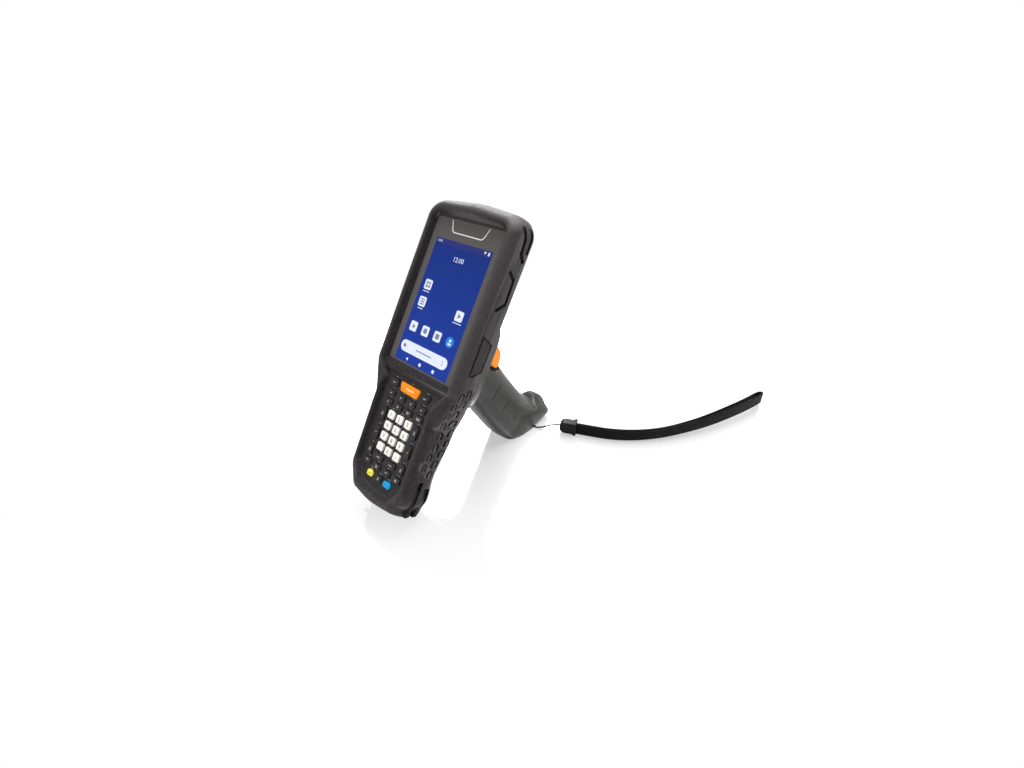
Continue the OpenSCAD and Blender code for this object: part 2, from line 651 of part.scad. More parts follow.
// the curved face that the finger pulls, shared by the arm and the wider blade
PULL = [[-11.7, -54], [-12.2, -58], [-14.4, -63], [-17.2, -66.4], [-21.6, -68.6], [-25.2, -69.5],
        [-28.6, -69.7], [-30.8, -68.4], [-30.6, -64.6], [-27.6, -57.4]];
pocket_back = -36.5;
pocket_low = -73.5;
switch_z = [-70, -62];
switch_deep = 7;
groove_w = 0.9;
groove_l = 18.5;
module grip_shell() posed() difference() {
    intersection() {
        grip_loft();
        translate([0, -150, -200]) cube([60, 200, 200]);
    }
    // the room that the trigger's arm and its wider blade swing in
    across(-1, arm_w / 2 + trigger_fit)
        polygon([[10, -43.5], [-29, -43.5], [-34, -56.5], [-30, -60], [10, -60]]);
    across(-1, trigger_w / 2 + trigger_fit)
        polygon([[10, -51.4], [-20, -52.8], [-30, -55], [pocket_back, -60],
                 [pocket_back, pocket_low + 3.5], [-31.5, pocket_low], [10, pocket_low]]);
    // the mouth of that room is open at the sides, so that the blade shows there
    across(-1, grip_half + 4)
        polygon([[10, -50.9], [-20, -52.2], [-31, -55.4], [-34, -61], [-33.6, -69.2], [-29, -72], [10, -72]]);
    across(-1, 4) polygon([[pocket_back + 1, switch_z[1]], [pocket_back - switch_deep, switch_z[1]],
                           [pocket_back - switch_deep, switch_z[0]], [pocket_back + 1, switch_z[0]]]);
    translate([-1, pivot.x, pivot.y]) rotate([0, 90, 0]) cylinder(r = pin_r, h = pin_half + 1);
    for (i = [0:2])
        translate([grip_half - groove_d + 0.35 * i, -51.6 - i * groove_pitch * 0.44, -77 - i * groove_pitch])
            rotate([-14, 0, 0]) translate([0, -groove_l / 2, -groove_w / 2]) cube([6, groove_l, groove_w]);
    for (p = SADDLE_SCREWS) if (p.x > 0) {
        slab(-60, back_z + 1) translate(p) circle(screw_r + fit);
        slab(-60, saddle_face + screw_head) translate(p) circle(head_r + fit);
    }
    below_floor();
    lanyard_hole();
}
module rod(from, to, r, more = 1) {
    way = to - from;
    translate(from) rotate([0, acos(way.z / norm(way)), atan2(way.y, way.x)])
        translate([0, 0, -more]) cylinder(r = r, h = norm(way) + 2 * more);
}
// the channel under the butt that the lanyard string runs in
module lanyard_hole() {
    inside = string_route[0] + [-3, 1.6, 1.8];
    way = [inside, string_route[1], string_route[2], string_route[3]];
    rotate([lean - 90, 0, 0]) translate([0, -screen_fwd, -screen_up])
        for (i = [0:2]) rod(way[i], way[i + 1], 1.3);
}
module grip_shell_right() color("#4b4b4a") grip_shell();
module grip_shell_left() color("#4b4b4a") mirror([1, 0, 0]) grip_shell();
module trigger() color(orange) posed() difference() {
    union() {
        across(-arm_w / 2, arm_w / 2)
            polygon(concat([[-25, -48], [-22, -45.2], [-17, -45.5], [-13.5, -47], [-11.3, -51]], PULL));
        across(-trigger_w / 2, trigger_w / 2) polygon(PULL);
    }
    translate([-arm_w, pivot.x, pivot.y]) rotate([0, 90, 0]) cylinder(r = pin_r + 0.05, h = 2 * arm_w);
}
module trigger_pin() color("#b5b7ba") posed()
    translate([-pin_half, pivot.x, pivot.y]) rotate([0, 90, 0]) cylinder(r = pin_r, h = 2 * pin_half);
module trigger_switch() color("#1c1c1c") posed() {
    translate([-4, pocket_back - switch_deep, switch_z[0]]) cube([8, switch_deep, switch_z[1] - switch_z[0]]);
    translate([-1.5, pocket_back - 1, switch_z[0] + 2.5]) cube([3, 2.9, 3]);
}

// ---- strap: routes on the surface, in the standing frame
string_route = [
    [11, 20, 3.4], [14, 18.4, 1.6], [19, 18.2, 1], [25, 21.4, 2.6], [31, 25.8, 5.4], [37.65, 30.4, 6.5]];
strap_route = [
    [52, 37], [64, 42.5], [77, 49], [89, 57], [100, 66.5], [110, 77.5], [119, 90], [127, 104],
    [135, 120], [142, 137], [149, 157], [156, 180], [162, 205]];
strap_heading = atan2(strap_route[1].y - strap_route[0].y, strap_route[1].x - strap_route[0].x);
ferrule_h = 13;
module strap_ferrule() color("#1a1a1b")
    translate([strap_route[0].x, strap_route[0].y, 0]) rotate([0, 0, strap_heading]) {
        intersection() {
            translate([-ferrule_l, -6, 0]) cube([ferrule_l - 3, 12, ferrule_h]);
            translate([0, 4, 0]) rotate([90, 0, 0]) linear_extrude(8)
                polygon(rounded([[-ferrule_l, 3, 1], [-ferrule_l + 4, 0.6, 3], [0, 0.6, 1],
                                 [0, ferrule_h - 0.6, 1], [-ferrule_l + 4, ferrule_h - 0.6, 3],
                                 [-ferrule_l, ferrule_h - 3, 1]], 4));
        }
        translate([-3, -4.6, 0]) cube([3, 9.2, ferrule_h]);
    }
function tangent(route, i) =
    unit(route[min(i + 1, len(route) - 1)] - route[max(i - 1, 0)]);
// a tube whose rings are given as lists of points, capped at both ends
module tube(rings) {
    m = len(rings[0]);
    n = len(rings);
    polyhedron(
        points = [for (r = rings) each r],
        faces = concat(
            [[for (i = [0:m - 1]) i]],
            [for (j = [0:n - 2], i = [0:m - 1])
                let (a = j * m + i, b = j * m + (i + 1) % m)
                each [[a, a + m, b + m], [a, b + m, b]]],
            [[for (i = [m - 1:-1:0]) (n - 1) * m + i]]));
}
module lanyard_string() color("#141414") {
    tube([for (j = [0:len(string_route) - 1])
        let (t = tangent(string_route, j), side = unit(cross([0, 0, 1], t)), up = cross(t, side))
        [for (i = [0:7]) string_route[j] + string_d / 2 * (side * cos(45 * i) + up * sin(45 * i))]]);
}
// the doubled webbing stands on edge and opens into its loop at the far end
module wrist_strap() color("#161617") {
    last = len(strap_route) - 1;
    half = [for (j = [0:last]) strap_t / 2 + 2.6 * smooth((j - 5) / 6)];
    tube([for (j = [0:last])
        let (t = tangent(strap_route, j), side = [-t.y, t.x], p = strap_route[j], h = half[j])
        [for (q = [[h, 0.4], [h, strap_w - 0.4], [h - 0.5, strap_w], [0.5 - h, strap_w],
                   [-h, strap_w - 0.4], [-h, 0.4], [0.5 - h, 0], [h - 0.5, 0]])
            [p.x + side.x * q.x, p.y + side.y * q.x, q.y]]]);
}

rubber_boot();
front_housing();
rear_housing();
touch_window();
display_module();
keypad_mat();
main_board();
battery_pack();
battery_latch();
scan_engine();
scan_window();
grip_shell_left();
grip_shell_right();
trigger();
trigger_pin();
trigger_switch();
side_key_left();
side_key_right();
case_screws();
lanyard_string();
strap_ferrule();
wrist_strap();
for (k = KEYS) key(k);
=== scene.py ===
# %% [markdown]
# # A barcode data terminal on its pistol grip
# The real object is a hand-held computer: a moulded housing with a touch screen and a keypad, a
# rubber boot pulled over it, a pistol grip screwed to its back, and a wrist strap on a string.
# The CAD model gives every piece its size and place. This lesson gives the pieces their looks.
# Blender counts in metres, and small places are written in millimetres times MM. The CAD's frame
# is kept: the terminal stands on z = 0.

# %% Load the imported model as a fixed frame
import math

import bmesh
import bpy
from mathutils import Matrix, Vector

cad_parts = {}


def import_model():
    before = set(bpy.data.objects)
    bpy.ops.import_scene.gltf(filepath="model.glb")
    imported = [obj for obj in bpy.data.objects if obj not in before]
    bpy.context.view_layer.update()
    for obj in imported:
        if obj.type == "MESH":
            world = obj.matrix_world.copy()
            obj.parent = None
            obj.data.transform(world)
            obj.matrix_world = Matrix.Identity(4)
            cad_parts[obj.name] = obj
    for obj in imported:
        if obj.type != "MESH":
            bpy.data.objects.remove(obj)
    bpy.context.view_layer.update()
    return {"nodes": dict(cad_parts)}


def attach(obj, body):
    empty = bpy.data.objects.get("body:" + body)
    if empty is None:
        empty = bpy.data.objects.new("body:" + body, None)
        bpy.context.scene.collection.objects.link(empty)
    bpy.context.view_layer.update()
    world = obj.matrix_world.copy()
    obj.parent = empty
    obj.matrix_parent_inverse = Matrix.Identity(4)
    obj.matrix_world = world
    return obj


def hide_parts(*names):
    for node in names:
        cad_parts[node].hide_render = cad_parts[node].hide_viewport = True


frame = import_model()
nodes = frame["nodes"]
print("loaded", len(nodes), "solids")

# %% [markdown]
# ## The device frame
# The terminal leans back, so it is easier to place a tile or a key legend in a frame of its own:
# origin in the middle of the lit screen, x to the right, y to the top end, z out of the glass.
# The lean is the CAD's, and the origin is found from the touch window, whose middle lies a known
# step above the middle of the lit screen.

# %% The device frame, and the size of a solid in it
MM = 0.001
LEAN_DEG = 32.5
WINDOW_MIDDLE = 6.75 * MM  # the window's middle above the screen's middle
tilt = Matrix.Rotation(math.radians(90 - LEAN_DEG), 4, "X")


def box_after(turn, name):
    """The lowest and the highest corner of a solid after a turn."""
    places = [turn @ v.co for v in nodes[name].data.vertices]
    low = Vector([min(p[i] for p in places) for i in range(3)])
    high = Vector([max(p[i] for p in places) for i in range(3)])
    return low, high


low, high = box_after(tilt.inverted(), "touch_window")
screen_place = tilt @ Vector(((low.x + high.x) / 2, (low.y + high.y) / 2 - WINDOW_MIDDLE, high.z))
stand = Matrix.Translation(screen_place) @ tilt
to_device = stand.inverted()
print("screen middle in mm", [round(v / MM, 2) for v in screen_place])

# %% [markdown]
# ## Camera
# The camera stands to the right of the terminal and a little above it, and looks down at about
# 33 degrees. Its three axes are written in the device frame, so it follows the screen. The wide
# lens belongs to a close viewpoint: the near end of the terminal looks larger than the far end.

# %% Place the camera
CAMERA_PLACE = Vector((254.72, 9.13, 253.52)) * MM
SENSOR_MM = 36
LENS_MM = 17.53
right = Vector((0.74396, 0.35913, -0.56352))
down = Vector((0.35957, -0.92596, -0.11541))
ahead = Vector((-0.56324, -0.11676, -0.81800))
camera_data = bpy.data.cameras.new("camera")
camera_data.sensor_width = SENSOR_MM
camera_data.lens = LENS_MM
camera_data.clip_start = 0.01
camera = bpy.data.objects.new("camera", camera_data)
bpy.context.scene.collection.objects.link(camera)
look = Matrix((right, -down, -ahead)).transposed().to_4x4()
camera.matrix_world = stand @ Matrix.Translation(CAMERA_PLACE) @ look
bpy.context.scene.camera = camera
print("camera at", [round(v, 3) for v in camera.matrix_world.translation])

# %% [markdown]
# ## Colours, nodes and meshes
# A few small helpers carry the whole lesson. Paint is written as the hex value that a screen
# shows, and one function turns it to the linear light that the renderer counts in. Others add a
# shader node and feed its inputs, where an input takes either a fixed value or the output of
# another node. One more wraps a finished bmesh into an object that rides on a body of the
# terminal.

# %% Helpers for colour, nodes and pieces


def linear(hex_colour):
    """The linear red, green, blue and alpha of an sRGB hex value."""
    parts = [int(hex_colour[i:i + 2], 16) / 255 for i in (1, 3, 5)]
    return [p / 12.92 if p <= 0.04045 else ((p + 0.055) / 1.055) ** 2.4 for p in parts] + [1.0]


def shade(colour, factor, lift=0.0):
    """A darker or a paler colour: each part times a factor, plus a lift."""
    return [min(1.0, c * factor + lift) for c in colour[:3]] + [1.0]


def feed(material, node, values):
    """Feeds a node's inputs, by name or number: a socket is linked, all else is a fixed value."""
    for name, value in values.items():
        if isinstance(value, bpy.types.NodeSocket):
            material.node_tree.links.new(value, node.inputs[name])
        else:
            node.inputs[name].default_value = value


def add_node(material, kind, values=None, **options):
    """Adds one shader node with its options, and feeds its inputs."""
    node = material.node_tree.nodes.new(kind)
    for name, value in options.items():
        setattr(node, name, value)
    feed(material, node, values or {})
    return node


def calculate(material, operation, first, second=None):
    """The result of a Math node on one or two values."""
    values = {0: first} if second is None else {0: first, 1: second}
    return add_node(material, "ShaderNodeMath", values, operation=operation).outputs[0]


def remap(material, value, source=(0.0, 1.0), target=(0.0, 1.0), curve="LINEAR"):
    """A value's place in the source range, as the same place in the target range."""
    values = {"Value": value, "From Min": source[0], "From Max": source[1],
              "To Min": target[0], "To Max": target[1]}
    return add_node(material, "ShaderNodeMapRange", values, interpolation_type=curve).outputs["Result"]


def mixed(material, share, first, second):
    """The first colour where share is zero, the second where it is one."""
    # a Mix node's colours are its inputs 6 and 7, and its output 2
    return add_node(material, "ShaderNodeMix", {0: share, 6: first, 7: second}, data_type="RGBA").outputs[2]


def new_finish(name):
    """A material, its Principled shader, and the socket of the Object coordinates."""
    material = bpy.data.materials.new(name)
    material.use_nodes = True
    shader = material.node_tree.nodes["Principled BSDF"]
    place = add_node(material, "ShaderNodeTexCoord").outputs["Object"]
    return material, shader, place


def new_object(name, data):
    """An object in the scene that holds the data."""
    made = bpy.data.objects.new(name, data)
    bpy.context.scene.collection.objects.link(made)
    return made


SMOOTH_UP_TO_DEG = 58


def piece_from(bm, name, finish, body, replaced=()):
    """Makes the bmesh an object at the origin, smooth where it bends gently, riding on a body."""
    mesh = bpy.data.meshes.new(name)
    bm.to_mesh(mesh)
    bm.free()
    mesh.shade_smooth()
    mesh.set_sharp_from_angle(angle=math.radians(SMOOTH_UP_TO_DEG))
    mesh.materials.append(finish)
    piece = new_object(name, mesh)
    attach(piece, body)
    if replaced:
        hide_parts(*replaced)
    return piece


def drop_uv(bm):
    """Removes the UV maps that a mesh came with."""
    for layer in list(bm.loops.layers.uv.values()):
        bm.loops.layers.uv.remove(layer)


# %% [markdown]
# ## The finishes of moulded pieces
# Rubber, ABS and polycarbonate parts come out of a tool whose surface was spark-eroded, so they
# carry a fine grain, finer on plastic and coarser on rubber. Handling rubs the grain down on
# edges, which then look paler, and the same paler edges also serve as a painted highlight where
# a crest would catch the light. One function builds that kind of finish: a slow mottling, a fine
# grain as bump, and paler edges found from the mesh's pointiness, which is 0.5 on a flat face
# and more where the mesh bends outwards.

# %% Moulded finish


def moulded(name, hex_colour, roughness, grain_mm, depth_mm, mottle=0.06, edge=0.35, coat=0.0,
            shine=0.15, mottle_mm=9.0):
    """A grained finish.

    grain_mm and depth_mm are the size and the depth of the grain, mottle is the share by which
    clouds of mottle_mm change the colour, and edge says how much paler the edges are: partly wear,
    partly a painted highlight along crests.
    """
    material, shader, place = new_finish(name)
    base = linear(hex_colour)
    slow = add_node(material, "ShaderNodeTexNoise",
                    {"Scale": 1 / (mottle_mm * MM), "Detail": 3.0, "Vector": place})
    spread = remap(material, slow.outputs["Fac"], (0.32, 0.68))
    tone = mixed(material, spread, shade(base, 1 - mottle), shade(base, 1 + mottle))
    bend = add_node(material, "ShaderNodeNewGeometry").outputs["Pointiness"]
    # paler edges: partly wear where handling rubs the grain down, partly a painted highlight on crests
    worn_and_highlit = remap(material, bend, (0.508, 0.58), (0.0, 0.9))
    colour = mixed(material, worn_and_highlit, tone, shade(base, 1 + edge, 0.012 * edge))
    grain = add_node(material, "ShaderNodeTexNoise",
                     {"Scale": 1 / (grain_mm * MM), "Detail": 2.0, "Roughness": 0.6, "Vector": place})
    bump = add_node(material, "ShaderNodeBump",
                    {"Strength": 0.7, "Distance": depth_mm * MM, "Height": grain.outputs["Fac"]})
    gloss = remap(material, spread, target=(roughness - 0.06, roughness + 0.06))
    feed(material, shader, {"Base Color": colour, "Roughness": gloss, "Normal": bump.outputs["Normal"],
                            "Specular IOR Level": shine, "Coat Weight": coat, "Coat Roughness": 0.12})
    return material


# the numbers are roughness, grain, depth of the grain, mottle and edge (paler edges: wear and painted
# highlight)
# thermoplastic rubber over-boot: soft grain of about half a millimetre, dull, warm black;
# its large edge value paints highlights on the rim's crests as well as wear
boot_rubber = moulded("moulded_boot_rubber", "#272425", 0.5, 0.5, 0.06, 0.42, 1.9,
                      shine=0.12, mottle_mm=2.2)
# ABS housing: finer spark grain than the rubber
housing_abs = moulded("spark_eroded_abs", "#2a2728", 0.5, 0.4, 0.03, 0.12, 0.4,
                      shine=0.12, mottle_mm=2.0)
battery_abs = moulded("battery_abs", "#2a2828", 0.5, 0.4, 0.03, 0.12, 0.4,
                      shine=0.12, mottle_mm=2.0)
# glass-filled nylon grip, smoother and a little glossier from the hand
grip_nylon = moulded("satin_nylon_grip", "#2a2a29", 0.34, 0.45, 0.014, 0.04, 0.3, shine=0.24)
latch_acetal = moulded("acetal_latch", "#232323", 0.4, 0.5, 0.012, 0.04, 0.3)
side_rubber = moulded("side_key_silicone", "#262423", 0.6, 0.5, 0.02, 0.05, 0.3)
# two-shot key caps: hard, smooth and slightly glossy
key_white = moulded("ivory_key_cap", "#e9e5df", 0.32, 0.6, 0.006, 0.02, 0.0)
key_black = moulded("black_key_cap", "#1d1c1d", 0.36, 0.6, 0.008, 0.05, 0.8, shine=0.15)
key_orange = moulded("orange_key_cap", "#f48a1c", 0.3, 0.6, 0.006, 0.03, 0.0, shine=0.1)
key_yellow = moulded("yellow_key_cap", "#ecdc4c", 0.32, 0.6, 0.006, 0.03, 0.0, shine=0.1)
key_blue = moulded("blue_key_cap", "#0f94cf", 0.32, 0.6, 0.006, 0.03, 0.0, shine=0.1)
trigger_orange = moulded("orange_trigger_abs", "#f98a16", 0.34, 0.6, 0.008, 0.03, 0.0, shine=0.1)
print("moulded finishes ready")

# %% [markdown]
# ## The wrist strap
# The strap is one length of narrow nylon webbing, doubled and held in a ferrule, which a thin
# braided string ties to the butt of the grip. It lies on its edge. The string and the strap are
# free cords, so they come first. A curve is the right tool: extruding a flat curve upwards gives a
# band that stands on edge, and a round bevel gives a string. Their points repeat the CAD's routes.

# %% Routes of the string and the strap, in millimetres
STRING_ROUTE = [(11, 20, 3.4), (14, 18.4, 1.6), (19, 18.2, 1), (25, 21.4, 2.6), (31, 25.8, 5.4),
                (37.65, 30.4, 6.5)]
STRAP_ROUTE = [(52, 37), (64, 42.5), (77, 49), (89, 57), (100, 66.5), (110, 77.5), (119, 90),
               (127, 104), (135, 120), (142, 137), (149, 157), (156, 180), (162, 205)]
STRING_STEPS = 4  # points made in each span of a route
STRAP_STEPS = 3
STRING_THICK = 1.5
STRAP_WIDTH = 11.4
WEB_THICK = 1.3


def smooth_route(points, steps):
    """Catmull-Rom points through a route, with so many steps in each span."""
    points = [Vector(p) for p in points]
    ends = [2 * points[0] - points[1]] + points + [2 * points[-1] - points[-2]]
    made = []
    for i in range(1, len(ends) - 2):
        a, b, c, d = ends[i - 1:i + 3]
        for k in range(steps):
            t = k / steps
            made.append(0.5 * (2 * b + (c - a) * t + (2 * a - 5 * b + 4 * c - d) * t * t
                               + (3 * b - a - 3 * c + d) * t ** 3))
    return made + [points[-1]]


def route_length(points):
    """The length of a line through points."""
    return sum((b - a).length for a, b in zip(points, points[1:]))


string_line = [p * MM for p in smooth_route(STRING_ROUTE, STRING_STEPS)]
strap_line = [Vector((p.x, p.y, STRAP_WIDTH / 2)) * MM
              for p in smooth_route([(x, y, 0) for x, y in STRAP_ROUTE], STRAP_STEPS)]
print("string", round(route_length(string_line), 4), "strap", round(route_length(strap_line), 4))

# %% [markdown]
# ### Webbing and braid
# Nylon webbing is woven: ribs about two millimetres apart run along it, and its yarn has a dull
# sheen. The turns of the string's braid lie across it, under a millimetre apart. Both follow the
# cord, so they are drawn on a length and a height that the mesh carries as its UV map, in
# millimetres.

# %% Woven finishes
STRIPES = 3.18  # a wave texture of scale 1 has so many stripes in one unit
YARN_SCALE = 1 / 1.4  # slanted stripes of yarn, under a millimetre apart


def woven(name, hex_colour, rib_mm, depth_mm, sheen, changes_along):
    """Ribs and yarn; the ribs follow one another along the axis changes_along of the UV map."""
    material, shader, _ = new_finish(name)
    along = add_node(material, "ShaderNodeUVMap", uv_map="along").outputs["UV"]
    rib = add_node(material, "ShaderNodeTexWave",
                   {"Scale": 1 / (rib_mm * STRIPES), "Distortion": 0.6, "Detail": 2.0,
                    "Detail Scale": 4.0, "Vector": along},
                   wave_type="BANDS", bands_direction=changes_along)
    yarn = add_node(material, "ShaderNodeTexWave",
                    {"Scale": YARN_SCALE, "Distortion": 1.0, "Vector": along},
                    wave_type="BANDS", bands_direction="DIAGONAL")
    both = add_node(material, "ShaderNodeMath",
                    {0: yarn.outputs["Fac"], 1: 0.4, 2: rib.outputs["Fac"]}, operation="MULTIPLY_ADD")
    bump = add_node(material, "ShaderNodeBump",
                    {"Strength": 0.8, "Distance": depth_mm * MM, "Height": both.outputs["Value"]})
    base = linear(hex_colour)
    # the ribs' tops are painted paler and the grooves between them darker: painted highlight and painted
    # shade
    colour = mixed(material, rib.outputs["Fac"], shade(base, 0.6), shade(base, 1.6))
    feed(material, shader, {"Base Color": colour, "Normal": bump.outputs["Normal"], "Roughness": 0.7,
                            "Specular IOR Level": 0.07, "Sheen Weight": sheen, "Sheen Roughness": 0.4})
    return material


webbing = woven("woven_nylon_webbing", "#0b0a0a", 2.3, 0.3, 0.06, "Y")
braid = woven("braided_string", "#0a0a0a", 0.9, 0.1, 0.0, "X")

# %% The band of the strap and the string, as curves made into meshes


def curve_bmesh(name, curve):
    """A curve or a text as a bmesh, with its doubled corners merged."""
    holder = new_object(name + "_line", curve)
    bpy.context.view_layer.update()
    shape = holder.evaluated_get(bpy.context.evaluated_depsgraph_get())
    mesh = bpy.data.meshes.new_from_object(shape)
    bpy.data.objects.remove(holder)
    bm = bmesh.new()
    bm.from_mesh(mesh)
    bmesh.ops.remove_doubles(bm, verts=bm.verts, dist=1e-6)
    return bm


def band_piece(name, points, extrude, bevel, resolution, finish, replaced):
    """A curve through points, extruded up and down and bevelled, with its length stored as UV."""
    curve = bpy.data.curves.new(name, "CURVE")
    curve.dimensions = "3D"
    curve.extrude = extrude
    curve.bevel_depth = bevel
    curve.bevel_resolution = resolution
    curve.use_fill_caps = True
    curve.twist_mode = "Z_UP"
    spline = curve.splines.new("POLY")
    spline.points.add(len(points) - 1)
    for target, p in zip(spline.points, points):
        target.co = (*p, 1)
    bm = curve_bmesh(name, curve)
    bmesh.ops.recalc_face_normals(bm, faces=bm.faces)
    # the nearest point of the line gives each corner its length along the cord, in millimetres
    run = [0.0]
    for a, b in zip(points, points[1:]):
        run.append(run[-1] + (b - a).length / MM)
    drop_uv(bm)
    uv = bm.loops.layers.uv.new("along")
    for face in bm.faces:
        for loop in face.loops:
            place = loop.vert.co
            near = min(range(len(points)), key=lambda i: (points[i] - place).length_squared)
            step = points[min(near + 1, len(points) - 1)] - points[max(near - 1, 0)]
            more = (place - points[near]).dot(step.normalized()) / MM
            loop[uv].uv = (run[near] + more, place.z / MM)
    return piece_from(bm, name, finish, "housing", replaced)


def side_of(line, i):
    """The level way square to a line at one of its points."""
    step = line[min(i + 1, len(line) - 1)] - line[max(i - 1, 0)]
    return Vector((-step.y, step.x, 0)).normalized()


def ease(t):
    """Zero below zero, one above one, and a smooth step between."""
    t = min(1.0, max(0.0, t))
    return t * t * (3 - 2 * t)


def past(value, start, over):
    """Grows from zero at start to one at start + over."""
    return ease((value - start) / over)


# the two runs lie together at the ferrule and open towards the loop at the far end, and the loop
# rolls over a little: the run nearer to the camera rises above the other; places along the strap
# are counted in spans of its route
CLOSED = 0.75  # half the distance between the middles of the runs at the ferrule
OPENING = 2.6  # and how much that half grows
FAR_RISE = 1.2
NEAR_RISE = 3.4
TIP_REACH = 0.65  # the loop's tip, as a share of the last step of the route
UP = Vector((0, 0, 1))
spans = [i / STRAP_STEPS for i in range(len(strap_line))]
run_gap = [(CLOSED + OPENING * past(span, 4.5, 6)) * MM for span in spans]
rise = [past(span, 2, 9) * MM for span in spans]


def strap_run(side, lift):
    """One run of the webbing, from the ferrule to where the loop's tip begins."""
    return [p + side * side_of(strap_line, i) * run_gap[i] + UP * lift * rise[i]
            for i, p in enumerate(strap_line[:-1])]


out_run = strap_run(1, FAR_RISE)
back_run = strap_run(-1, NEAR_RISE)
middle_line = [p + UP * (FAR_RISE + NEAR_RISE) / 2 * r for p, r in zip(strap_line, rise)]
middle_line[-1] = middle_line[-2].lerp(middle_line[-1], TIP_REACH)
last = strap_line[-2]
ahead_way = strap_line[-1] - last
across_way = side_of(strap_line, len(strap_line) - 2)
middle_rise = (FAR_RISE + NEAR_RISE) / 2 * rise[-1]
half_rise = (FAR_RISE - NEAR_RISE) / 2 * rise[-1]
tip = [last + across_way * run_gap[-1] * math.cos(a) + ahead_way * TIP_REACH * math.sin(a)
       + UP * (middle_rise + half_rise * math.cos(a))
       for a in [math.radians(22.5 * k) for k in range(1, 8)]]
band = out_run + tip + list(reversed(back_run))
strap = band_piece("strap_webbing", band, (STRAP_WIDTH - WEB_THICK) / 2 * MM, WEB_THICK / 2 * MM, 2,
                   webbing, ["wrist_strap"])
string = band_piece("strap_string", string_line, 0.0, STRING_THICK / 2 * MM, 3,
                    braid, ["lanyard_string"])
print("strap", len(strap.data.polygons), "faces, string", len(string.data.polygons))

# %% [markdown]
# ## Cleaned copies of the CAD solids
# A CAD solid arrives as loose flat triangles with hard edges. A moulded piece has a small radius
# on every edge, and that radius is what catches the light. So a copy of each visible solid is
# merged, its flat triangles are joined into faces, its sharp edges get a small bevel, and the
# copy takes the solid's place. The solid itself is never touched.
#
# The boot, the grip and the trigger also get forms that their solids lack: the rear edge of the
# boot hangs down beside the keypad, the hook at the grip's butt is rounder and lower, and the
# trigger's blade is a little longer. Each is a function that moves one point in the device frame.
# The skin is first cut into rows, so that it has points where it has to bend.

# %% Copy a solid and round its edges
CUT_STEP = 5  # millimetres between two rows of points


def rounded_copy(node, finish, body, radius_mm, sharp_deg=40, segments=2, move=None,
                 cuts=()):
    """A bevelled copy that replaces a solid; cuts are (axis, from, to), in millimetres."""
    bm = bmesh.new()
    bm.from_mesh(nodes[node].data)
    bmesh.ops.remove_doubles(bm, verts=bm.verts, dist=2e-6)
    bmesh.ops.dissolve_limit(bm, angle_limit=math.radians(0.6), verts=bm.verts, edges=bm.edges)
    if move:
        for axis, low_mm, high_mm in cuts:
            way = tilt.to_3x3().col[axis]
            for step in range(low_mm, high_mm, CUT_STEP):
                bmesh.ops.bisect_plane(bm, geom=bm.verts[:] + bm.edges[:] + bm.faces[:], dist=1e-6,
                                       plane_co=screen_place + way * step * MM, plane_no=way)
        for v in bm.verts:
            v.co = stand @ (move(to_device @ v.co / MM) * MM)
            v.co.z = max(v.co.z, 0)
    if radius_mm:
        sharp = [e for e in bm.edges if len(e.link_faces) == 2
                 and e.calc_face_angle(0) > math.radians(sharp_deg)]
        bmesh.ops.bevel(bm, geom=sharp, offset=radius_mm * MM, offset_type="OFFSET", affect="EDGES",
                        segments=segments, profile=0.5, material=-1, clamp_overlap=True)
    drop_uv(bm)
    piece = piece_from(bm, node + "_shell", finish, body, [node])
    # large faces keep their own shading beside the narrow rounded edges
    even = piece.modifiers.new("even_shading", "WEIGHTED_NORMAL")
    even.keep_sharp = True
    return piece


# %% [markdown]
# ### The three changed forms
# All places are in millimetres in the device frame, where a larger y is nearer to the top end and
# a smaller z is deeper behind the glass. The changes fade in by smooth steps along the axes, so
# that no crease shows where they start.

# %% Forms of the boot, the butt and the trigger


def before(value, start, over):
    """Grows from zero at start to one at start - over."""
    return ease((start - value) / over)


WAIST_Y = -52  # the boot's skirt starts at its waist
SKIRT_DROP = 6  # how far it hangs beside the keypad
HEEL_DROP = 2.6  # and how much more near the lower end
INNER_X = 28.8  # half the width of the boot's inside
INNER_Z = -19.8  # how deep that inside is


def boot_skirt(p):
    """The boot's rear edge hangs lower beside the keypad, and its inside stays on the housing."""
    inside = p.z > INNER_Z and abs(p.x) < INNER_X
    if inside or p.y > WAIST_Y:
        return p
    drop = (SKIRT_DROP * before(p.y, WAIST_Y, 24) * (1 - 0.7 * before(p.y, -86, 36))
            + HEEL_DROP * before(p.y, -118, 18))
    return p - Vector((0, 0, drop * before(p.z, -9, 9) * past(abs(p.x), 19, 6)))


BUTT_Z = -117  # the butt is the part of the grip behind this depth
HOOK_Y = -72  # and its hook is the part nearer to the top end
HOOK_SLIDE = 20  # how far the hook's root slides back
HOOK_NARROWING = 0.48
NOTCH_Z = -126  # the middle of the notch that makes the hook
NOTCH_REACH = 9
NOTCH_DROP = 2.5


def butt_hook(p):
    """The hook at the butt is rounder across than the CAD's, and its notch sits a little lower."""
    low = before(p.z, BUTT_Z, 10)
    front_part = past(p.y, HOOK_Y, 16)
    notch = max(0.0, 1 - abs(p.z - NOTCH_Z) / NOTCH_REACH)
    slide = HOOK_SLIDE * low * front_part * (1 - 0.87 * before(p.z, -140, 28))
    narrower = 1 - HOOK_NARROWING * low * past(p.y, -60, 12)
    return Vector((p.x * narrower, p.y - NOTCH_DROP * notch * front_part, p.z - slide))


TAIL_LENGTH = 1.0


def trigger_tail(p):
    """The end of the blade reaches to the edge of its pocket."""
    return p - Vector((0, 0, TAIL_LENGTH * before(p.z, -63, 5)))


